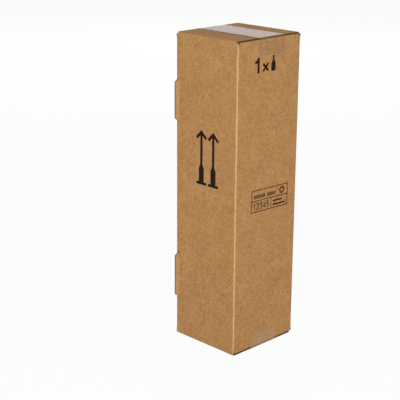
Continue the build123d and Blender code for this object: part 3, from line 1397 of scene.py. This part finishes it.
class Nodes:
    """Short spellings for building one material's nodes."""

    def __init__(self, name: str) -> None:
        """Starts an empty material.

        Args:
            name: The material's name.
        """
        self.material = bpy.data.materials.new(name)
        self.material.use_nodes = True
        self.tree = self.material.node_tree
        self.tree.nodes.clear()
        self.output = self.tree.nodes.new("ShaderNodeOutputMaterial")
        self.place = self.tree.nodes.new("ShaderNodeTexCoord").outputs["Object"]

    def node(
        self, kind: str, inputs: dict[str | int, object] | None = None, **settings: object
    ) -> bpy.types.Node:
        """Adds a node.

        Args:
            kind: The node's type, without ShaderNode.
            inputs: A socket to link, or a value to set, for each input.
            settings: The node's own properties.

        Returns:
            The node.
        """
        made = self.tree.nodes.new("ShaderNode" + kind)
        for key, value in settings.items():
            setattr(made, key, value)
        for key, value in (inputs or {}).items():
            if isinstance(value, bpy.types.NodeSocket):
                self.tree.links.new(value, made.inputs[key])
            else:
                made.inputs[key].default_value = value
        return made

    def noise(
        self, scale: float, detail: float = 3.0, place: bpy.types.NodeSocket | None = None
    ) -> bpy.types.NodeSocket:
        """Noise between 0 and 1.

        Args:
            scale: Cells to the metre.
            detail: How many finer layers are added.
            place: Where to read it, or None for Object coordinates.

        Returns:
            The noise.
        """
        vector = place if place is not None else self.place
        made = self.node("TexNoise", {"Vector": vector, "Scale": scale, "Detail": detail, "Roughness": 0.6})
        return made.outputs["Fac"]

    def stretched(self, scale: Sequence[float], seed: float = 0.0) -> bpy.types.NodeSocket:
        """Object coordinates, scaled apart along the axes."""
        inputs = {"Vector": self.place, "Scale": tuple(scale), "Location": (seed, seed, seed)}
        return self.node("Mapping", inputs).outputs["Vector"]

    def span(
        self, value: bpy.types.NodeSocket, low: float, high: float, to_low: float, to_high: float
    ) -> bpy.types.NodeSocket:
        """Maps a range of a value evenly to another range, and clips it there."""
        inputs = {"Value": value, "From Min": low, "From Max": high, "To Min": to_low, "To Max": to_high}
        return self.node("MapRange", inputs, clamp=True).outputs["Result"]

    def math(self, operation: str, *values: object) -> bpy.types.NodeSocket:
        """A math node on sockets or numbers."""
        return self.node("Math", dict(enumerate(values)), operation=operation).outputs[0]

    def blend(self, share: object, one: object, two: object, kind: str = "MIX") -> bpy.types.NodeSocket:
        """Mixes two colours.

        Args:
            share: 0 for the first, 1 for the second.
            one: The first colour.
            two: The second colour.
            kind: The way they are blended.

        Returns:
            The mixed colour.
        """
        made = self.node("Mix", data_type="RGBA", blend_type=kind)
        for socket, value in ((made.inputs[0], share), (made.inputs[6], one), (made.inputs[7], two)):
            if isinstance(value, bpy.types.NodeSocket):
                self.tree.links.new(value, socket)
            else:
                socket.default_value = (*value, 1.0) if isinstance(value, tuple) else value
        return made.outputs[2]

    def bump(
        self, height: bpy.types.NodeSocket, distance: float, strength: float = 1.0
    ) -> bpy.types.NodeSocket:
        """A bump of a height in metres."""
        inputs = {"Height": height, "Distance": distance, "Strength": strength}
        return self.node("Bump", inputs).outputs["Normal"]

    def finish(self, shader: bpy.types.Node) -> bpy.types.Material:
        """Shows a shader, and returns the material."""
        self.tree.links.new(shader.outputs[0], self.output.inputs["Surface"])
        return self.material


@dataclass(frozen=True)
class PaperFinish:
    """Kraft paper: clouded, flecked and lightly streaked, paler on the folds as stretched paper and a painted
    highlight, with painted shade on its cut edges and a painted shadow along its foot.
    """

    name: str
    base: Colour
    pale: Colour
    deep: Colour
    fleck: Colour = (0.12, 0.055, 0.02)
    # pale fibres, and the painted highlight on the folds
    scuff_and_highlight: Colour = (0.64, 0.44, 0.22)
    rubbed: Colour = (0.30, 0.19, 0.105)
    cut: Colour = (0.12, 0.064, 0.029)  # cut edges, darkened as rough paper and as painted shade of the open flutes, and the painted shadow along the foot
    roughness: float = 0.8
    relief: float = 0.00004

    def foot_shadow_place(self, n: Nodes) -> bpy.types.NodeSocket:
        """The place on the box, with its height made uneven by a little noise, for the painted shadow along
        the foot.

        Args:
            n: The material's nodes.

        Returns:
            The place.
        """
        ripple = n.node("TexNoise", {"Vector": n.place, "Scale": 160.0, "Detail": 2.0}).outputs["Color"]
        shift = n.node("VectorMath", {0: ripple, 1: (0.0, 0.0, 0.0006)}, operation="MULTIPLY").outputs[0]
        return n.node("VectorMath", {0: n.place, 1: shift}, operation="ADD").outputs[0]

    def material(self) -> bpy.types.Material:
        """Builds the paper's nodes.

        Returns:
            The material.
        """
        n = Nodes(self.name)
        cloud = n.noise(38.0, 5.0)
        mottle = n.noise(240.0, 4.0)
        grain = n.noise(1500.0, 3.0)
        streak = n.noise(1.0, 4.0, n.stretched((420.0, 420.0, 16.0)))
        speckle = n.noise(560.0, 2.0)
        tone = n.math("ADD", n.math("MULTIPLY", cloud, 0.16), n.math("MULTIPLY", mottle, 0.34))
        tone = n.math("ADD", tone, n.math("MULTIPLY", speckle, 0.38))
        tone = n.math("ADD", tone, n.math("MULTIPLY", grain, 0.08))
        tone = n.math("ADD", tone, n.math("MULTIPLY", streak, 0.04))
        colour = n.blend(n.span(tone, 0.41, 0.59, 0.0, 1.0), self.deep, self.pale)
        warm = n.noise(21.0, 2.0, n.stretched((1.0, 1.0, 1.0), 3.7))
        colour = n.blend(n.span(warm, 0.35, 0.65, 0.0, 0.35), colour, self.base)
        fleck = n.span(n.noise(1150.0, 1.0, n.stretched((1.0, 1.0, 0.6), 8.1)), 0.70, 0.76, 0.0, 0.55)
        colour = n.blend(fleck, colour, self.fleck)
        fibre = n.span(n.noise(900.0, 2.0, n.stretched((1.0, 1.0, 0.35), 5.3)), 0.66, 0.74, 0.0, 0.35)
        colour = n.blend(fibre, colour, self.scuff_and_highlight)
        # Painted highlight: the front-left upright fold, and faintly the flaps' folds, are mixed toward the
        # pale colour; the other upright folds are rubbed greyer.
        fold = n.node("Attribute", attribute_name="fold", attribute_type="GEOMETRY").outputs["Fac"]
        wear_and_highlight_share = n.span(mottle, 0.3, 0.7, 0.6, 1.0)
        colour = n.blend(n.math("MULTIPLY", n.span(fold, 0.0, 1.0, 0.0, 1.0), wear_and_highlight_share), colour, self.scuff_and_highlight)
        colour = n.blend(n.math("MULTIPLY", n.span(fold, -1.0, 0.0, 1.0, 0.0), wear_and_highlight_share), colour, self.rubbed)
        # Painted shadow: within about 3 mm of the floor the paper is mixed toward the dark cut colour.
        level = n.node("SeparateXYZ", {"Vector": self.foot_shadow_place(n)}).outputs["Z"]
        colour = n.blend(n.span(level, 0.0014, 0.0034, 0.85, 0.0), colour, self.cut)
        # Cut edges are mixed toward the dark cut colour: rough paper, with painted shade of the open flutes.
        edge = n.node("Attribute", attribute_name="cut", attribute_type="GEOMETRY").outputs["Fac"]
        colour = n.blend(n.math("MULTIPLY", edge, n.span(mottle, 0.3, 0.6, 0.85, 1.0)), colour, self.cut)
        height = n.math("ADD", n.math("MULTIPLY", grain, 0.7), n.math("MULTIPLY", streak, 0.6))
        shader = n.node(
            "BsdfPrincipled",
            {
                "Base Color": colour,
                "Roughness": n.span(mottle, 0.3, 0.7, self.roughness - 0.08, self.roughness + 0.08),
                "Normal": n.bump(height, self.relief),
                "Specular IOR Level": 0.25,
            },
        )
        return n.finish(shader)


@dataclass(frozen=True)
class InkFinish:
    """Printing ink soaked into kraft: nearly opaque, thinner in small patches."""

    name: str
    full: Colour
    thin: Colour
    cover: float  # how much of the mark is fully inked

    def material(self) -> bpy.types.Material:
        """Builds the ink's nodes.

        Returns:
            The material.
        """
        n = Nodes(self.name)
        broad, fine = n.noise(420.0, 4.0), n.noise(1700.0, 2.0)
        patch = n.math("ADD", n.math("MULTIPLY", broad, 0.6), n.math("MULTIPLY", fine, 0.4))
        bare = n.span(patch, self.cover, self.cover + 0.16, 0.0, 1.0)
        shader = n.node(
            "BsdfPrincipled",
            {
                "Base Color": n.blend(bare, self.full, self.thin),
                "Roughness": n.span(patch, 0.3, 0.7, 0.6, 0.8),
                "Normal": n.bump(n.noise(1500.0, 3.0), 0.00003),
                "Specular IOR Level": 0.12,
            },
        )
        return n.finish(shader)


@dataclass(frozen=True)
class TapeFinish:
    """Clear packing film: see-through, a little milky, with glossy streaks along its length."""

    name: str
    milk: Colour = (0.42, 0.29, 0.17)
    haze: Point = (0.03, 0.14)
    edge_shadow: Colour = (0.05, 0.032, 0.02)  # painted shade along one edge of the film, on the top
    roughness: float = 0.14
    sheen: float = 1.4  # the two faces mirror this much of the Fresnel share raised to sheen_rise
    sheen_rise: float = 1.5

    def material(self) -> bpy.types.Material:
        """Builds the film's nodes: a clear sheet mixed with milky haze, under a glossy face.

        Returns:
            The material.
        """
        n = Nodes(self.name)
        uv = n.node("UVMap", uv_map="blank").outputs["UV"]
        along = n.node("Mapping", {"Vector": uv, "Scale": (260.0, 9.0, 1.0)}).outputs["Vector"]
        streak = n.noise(1.0, 4.0, along)
        cloud = n.noise(90.0, 4.0)
        milkiness = n.math("ADD", n.math("MULTIPLY", streak, 0.6), n.math("MULTIPLY", cloud, 0.4))
        clear = n.node("BsdfTransparent", {"Color": (0.985, 0.975, 0.955, 1.0)})
        normal = n.bump(milkiness, 0.00006, 0.4)
        milk = n.node("BsdfDiffuse", {"Color": (*self.milk, 1.0), "Roughness": 0.4, "Normal": normal})
        thick = n.span(milkiness, 0.35, 0.7, *self.haze)
        hazy = n.node("MixShader", {0: thick, 1: clear.outputs[0], 2: milk.outputs[0]})
        # Painted shade: a dark band along one edge of the film, only on the top of the box.
        side = n.node("SeparateXYZ", {"Vector": uv}).outputs["X"]
        edge_shadow = n.node("BsdfDiffuse", {"Color": (*self.edge_shadow, 1.0)})
        height = n.node("SeparateXYZ", {"Vector": n.place}).outputs["Z"]
        edge_shadow_share = n.math("MULTIPLY", n.span(side, 0.0018, 0.0036, 0.92, 0.0), n.span(cloud, 0.3, 0.6, 0.4, 1.0))
        edge_shadow_share = n.math("MULTIPLY", edge_shadow_share, n.span(height, 0.4280, 0.4296, 0.0, 1.0))
        hazy = n.node("MixShader", {0: edge_shadow_share, 1: hazy.outputs[0], 2: edge_shadow.outputs[0]})
        tint = (0.99, 0.97, 0.99, 1.0)
        gloss = n.node("BsdfGlossy", {"Color": tint, "Roughness": self.roughness, "Normal": normal})
        fresnel = n.node("Fresnel", {"IOR": 1.5}).outputs[0]
        sheen = n.math("MULTIPLY", n.math("POWER", fresnel, self.sheen_rise), self.sheen)
        outer = n.math("SUBTRACT", 1.0, n.node("NewGeometry").outputs["Backfacing"])
        sheen = n.math("MULTIPLY", sheen, n.span(streak, 0.35, 0.7, 0.72, 1.2))
        sheen = n.math("MULTIPLY", sheen, n.math("SUBTRACT", 1.0, edge_shadow_share))
        share = n.span(n.math("MULTIPLY", sheen, outer), 0.0, 1.0, 0.0, 1.0)
        shader = n.node("MixShader", {0: share, 1: hazy.outputs[0], 2: gloss.outputs[0]})
        return n.finish(shader)


# ---- Studio ----


@dataclass(frozen=True)
class Lamp:
    """A large soft round lamp, aimed at the box's middle."""

    name: str
    place: tuple[float, float, float]  # metres
    power: float
    size: float

    def build(self) -> None:
        """Makes the lamp and turns it to the box."""
        lamp = bpy.data.lights.new(self.name, "AREA")
        lamp.shape = "DISK"
        lamp.size = self.size
        lamp.energy = self.power
        light = bpy.data.objects.new(self.name, lamp)
        place, aim = Vector(self.place), Vector((0.0, 0.0, 0.2))
        turned = (aim - place).to_track_quat("-Z", "Y").to_matrix().to_4x4()
        light.matrix_world = Matrix.Translation(place) @ turned
        light.visible_camera = False
        light.visible_glossy = False
        bpy.context.scene.collection.objects.link(light)


@dataclass(frozen=True)
class Studio:
    """A pale floor, soft light from beside the camera, and the camera."""

    camera_place: tuple[float, float, float] = (-1063.0, -1002.4, 655.9)
    yaw: float = 44.74  # degrees right of +Y
    pitch: float = 17.43  # degrees down
    roll: float = 0.36
    lens: float = 100.0
    sensor: float = 36.0
    sky: float = 0.40
    floor_white: float = 0.94  # share of the floor's look that is plain white to the camera
    key: Lamp = Lamp("key", (-1.74, -1.70, 0.84), 46.5, 1.4)
    fill: Lamp = Lamp("fill", (1.9, 1.9, 1.15), 25.0, 1.3)

    def build(self) -> None:
        """Makes the floor, the world, the lamp and the camera."""
        self.floor()
        self.world()
        self.key.build()
        self.fill.build()
        self.camera()
        bpy.context.scene.view_settings.view_transform = "Standard"

    def seen_directly(self, tree: bpy.types.NodeTree) -> bpy.types.NodeSocket:
        """1 for rays from the camera, and for mirrored and passing rays that show the background.

        Args:
            tree: The nodes to add it to.

        Returns:
            The share.
        """
        path = tree.nodes.new("ShaderNodeLightPath")
        total = path.outputs["Is Camera Ray"]
        for name in ("Is Glossy Ray", "Is Transmission Ray"):
            add = tree.nodes.new("ShaderNodeMath")
            add.operation = "MAXIMUM"
            tree.links.new(total, add.inputs[0])
            tree.links.new(path.outputs[name], add.inputs[1])
            total = add.outputs[0]
        return total

    def floor(self) -> None:
        """A pale floor that is nearly white to the camera and keeps the soft shadow."""
        n = Nodes("pale_floor")
        diffuse = n.node("BsdfDiffuse", {"Color": (0.86, 0.86, 0.86, 1.0), "Roughness": 0.3})
        glow = n.node("Emission", {"Color": (1.0, 1.0, 1.0, 1.0), "Strength": 1.0})
        share = n.math("MULTIPLY", self.seen_directly(n.tree), self.floor_white)
        shader = n.node("MixShader", {0: share, 1: diffuse.outputs[0], 2: glow.outputs[0]})
        mesh = bpy.data.meshes.new("floor")
        reach, level = 6.0, -0.0003
        signs = ((-1, -1), (1, -1), (1, 1), (-1, 1))
        corners = [(x * reach, y * reach, level) for x, y in signs]
        mesh.from_pydata(corners, [], [(0, 1, 2, 3)])
        mesh.materials.append(n.finish(shader))
        floor = bpy.data.objects.new("floor", mesh)
        bpy.context.scene.collection.objects.link(floor)

    def world(self) -> None:
        """An even white sky: plain white to the camera, and softer as light."""
        world = bpy.data.worlds.new("studio")
        world.use_nodes = True
        tree = world.node_tree
        tree.nodes.clear()
        output = tree.nodes.new("ShaderNodeOutputWorld")
        soft, white = tree.nodes.new("ShaderNodeBackground"), tree.nodes.new("ShaderNodeBackground")
        soft.inputs["Color"].default_value = (1.0, 1.0, 1.0, 1.0)
        soft.inputs["Strength"].default_value = self.sky
        white.inputs["Color"].default_value = (1.0, 1.0, 1.0, 1.0)
        white.inputs["Strength"].default_value = 1.0
        mix = tree.nodes.new("ShaderNodeMixShader")
        tree.links.new(self.seen_directly(tree), mix.inputs[0])
        tree.links.new(soft.outputs[0], mix.inputs[1])
        tree.links.new(white.outputs[0], mix.inputs[2])
        tree.links.new(mix.outputs[0], output.inputs["Surface"])
        bpy.context.scene.world = world

    def camera(self) -> None:
        """The camera, turned by its yaw, then its pitch, then its roll."""
        yaw, pitch, roll = (math.radians(a) for a in (self.yaw, self.pitch, self.roll))
        ahead = Vector((math.sin(yaw) * math.cos(pitch), math.cos(yaw) * math.cos(pitch), -math.sin(pitch)))
        level = Vector((math.cos(yaw), -math.sin(yaw), 0.0))
        over = level.cross(ahead)
        right = math.cos(roll) * level + math.sin(roll) * over
        up = -math.sin(roll) * level + math.cos(roll) * over
        data = bpy.data.cameras.new("camera")
        data.lens, data.sensor_width = self.lens, self.sensor
        data.clip_start, data.clip_end = 0.05, 50.0
        camera = bpy.data.objects.new("camera", data)
        turned = Matrix((right, up, -ahead)).transposed().to_4x4()
        camera.matrix_world = Matrix.Translation(Vector(self.camera_place) * MM) @ turned
        bpy.context.scene.collection.objects.link(camera)
        bpy.context.scene.camera = camera


# ---- All together ----


def corners_of(node: str) -> tuple[Array, Array]:
    """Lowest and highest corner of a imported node, in millimetres."""
    low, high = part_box(node)
    return np.array(low) / MM, np.array(high) / MM


def main() -> None:
    """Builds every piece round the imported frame, in order, and notes the sizes."""
    logging.basicConfig(level=logging.INFO, format="%(message)s")
    kraft = PaperFinish(
        "kraft_liner", (0.42, 0.218, 0.077), (0.53, 0.285, 0.112), (0.31, 0.152, 0.048)
    ).material()
    medium = PaperFinish(
        "kraft_medium",
        (0.20, 0.11, 0.05),
        (0.25, 0.14, 0.065),
        (0.14, 0.075, 0.032),
        scuff_and_highlight=(0.3, 0.2, 0.11),
    ).material()
    inner_kraft = PaperFinish(
        "holder_liner", (0.50, 0.31, 0.14), (0.58, 0.37, 0.18), (0.42, 0.25, 0.105), cut=(0.42, 0.33, 0.24)
    ).material()
    grey_medium = PaperFinish(
        "holder_medium",
        (0.34, 0.27, 0.20),
        (0.42, 0.34, 0.26),
        (0.26, 0.20, 0.145),
        scuff_and_highlight=(0.45, 0.36, 0.27),
    ).material()
    black = InkFinish("black_ink", (0.011, 0.0045, 0.0025), (0.06, 0.03, 0.012), 0.56).material()
    brown = InkFinish("brown_ink", (0.055, 0.020, 0.005), (0.12, 0.055, 0.018), 0.54).material()
    film = TapeFinish("clear_film").material()
    dull_film = TapeFinish("dull_film", milk=(0.70, 0.50, 0.34), haze=(0.07, 0.24)).material()

    low, high = corners_of("outer_carton")
    holder_low, holder_high = corners_of("bottle_holder")
    play = 0.5
    tabs = BottleHolder.tabs
    carton = OuterCarton(
        width=float(high[0] - low[0]),
        depth=float(high[1] - low[1]),
        height=float(high[2] - low[2]),
        tab_slots=tuple((foot - play, head + play) for foot, head in tabs),
    )
    carton.build(kraft, medium)
    holder = BottleHolder(carton, float(holder_low[2]), float(holder_high[2]), float(holder_low[0]))
    holder.build(inner_kraft, grey_medium)

    top = Tape(
        "top_tape_film",
        "top_tape",
        *corners_of("top_tape"),
        front=TapeEnd((-21.5, 28.5), (23.9, 23.2)),
        back=TapeEnd((-21.5, 28.5), (22.0, 23.6)),
        at_top=True,
    )
    top.build(film)
    bottom = Tape(
        "bottom_tape_film",
        "bottom_tape",
        *corners_of("bottom_tape"),
        front=TapeEnd((-25.0, -13.2, 21.0, 25.0), (5.0, 23.9, 17.7, 15.5)),
        back=TapeEnd((-25.0, 25.0), (22.0, 23.6)),
        at_top=False,
    )
    bottom.build(dull_film)

    upright_arrows(carton).build(black)
    count_mark(carton).build(black)
    stamp(carton).build(brown)
    Studio().build()


if __name__ == "__main__":
    main()
